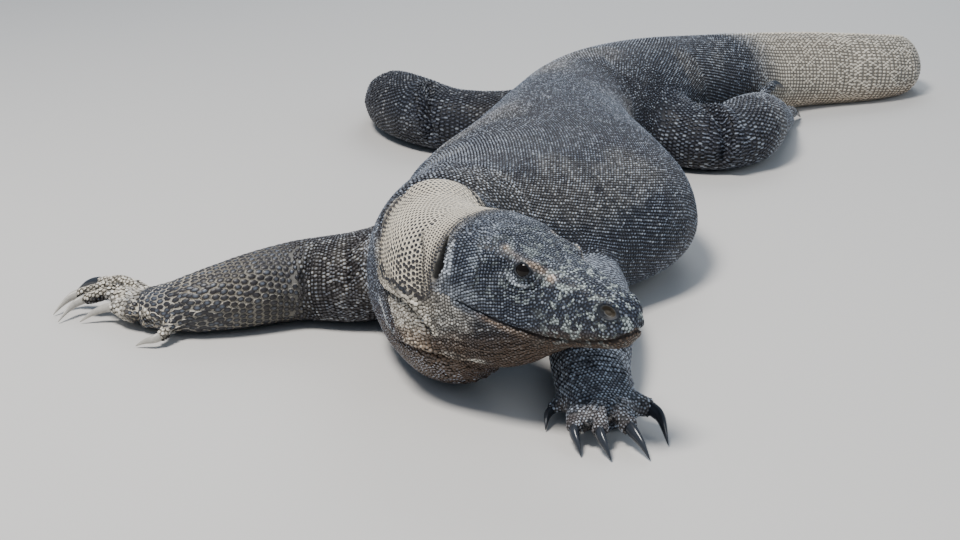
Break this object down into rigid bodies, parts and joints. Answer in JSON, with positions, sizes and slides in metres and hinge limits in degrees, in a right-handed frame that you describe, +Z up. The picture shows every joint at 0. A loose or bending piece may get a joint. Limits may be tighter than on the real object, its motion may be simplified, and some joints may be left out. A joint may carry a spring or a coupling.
{
  "type": "komodo dragon",
  "caption": "Life-size still model of a full-grown Komodo dragon lying at rest, head turned to one side, legs spread and tail folded back behind the hips.",
  "frame": {"origin": "middle of the footprint, on the floor the animal lies on", "axes": "+Z up, the head end towards -Y, the shoulders to hips line mostly along Y, +X to the animal's left at the shoulders"},
  "size_m": [1.2552, 1.8404, 0.1832],
  "materials": {
    "skin": "matte, fine-scaled hide",
    "claw": "satin horn",
    "eye": "wet gloss"
  },
  "bodies": {
    "root": {"eye_left": "eye", "eye_right": "eye", "foreleg_left_claw_1": "claw", "foreleg_left_claw_2": "claw", "foreleg_left_claw_3": "claw", "foreleg_left_claw_4": "claw", "foreleg_left_claw_5": "claw", "foreleg_left_foot": "skin", "foreleg_left_lower": "skin", "foreleg_left_upper": "skin", "foreleg_right_claw_1": "claw", "foreleg_right_claw_2": "claw", "foreleg_right_claw_3": "claw", "foreleg_right_claw_4": "claw", "foreleg_right_claw_5": "claw", "foreleg_right_foot": "skin", "foreleg_right_lower": "skin", "foreleg_right_upper": "skin", "head": "skin", "hindleg_left_claw_1": "claw", "hindleg_left_claw_2": "claw", "hindleg_left_claw_3": "claw", "hindleg_left_claw_4": "claw", "hindleg_left_claw_5": "claw", "hindleg_left_foot": "skin", "hindleg_left_lower": "skin", "hindleg_left_upper": "skin", "hindleg_right_claw_1": "claw", "hindleg_right_claw_2": "claw", "hindleg_right_claw_3": "claw", "hindleg_right_claw_4": "claw", "hindleg_right_claw_5": "claw", "hindleg_right_foot": "skin", "hindleg_right_lower": "skin", "hindleg_right_upper": "skin", "lower_jaw": "skin", "neck": "skin", "pelvis": "skin", "tail_1": "skin", "tail_2": "skin", "tail_3": "skin", "tail_4": "skin", "trunk_front": "skin", "trunk_middle": "skin", "trunk_rear": "skin"}
  },
  "joints": []
}
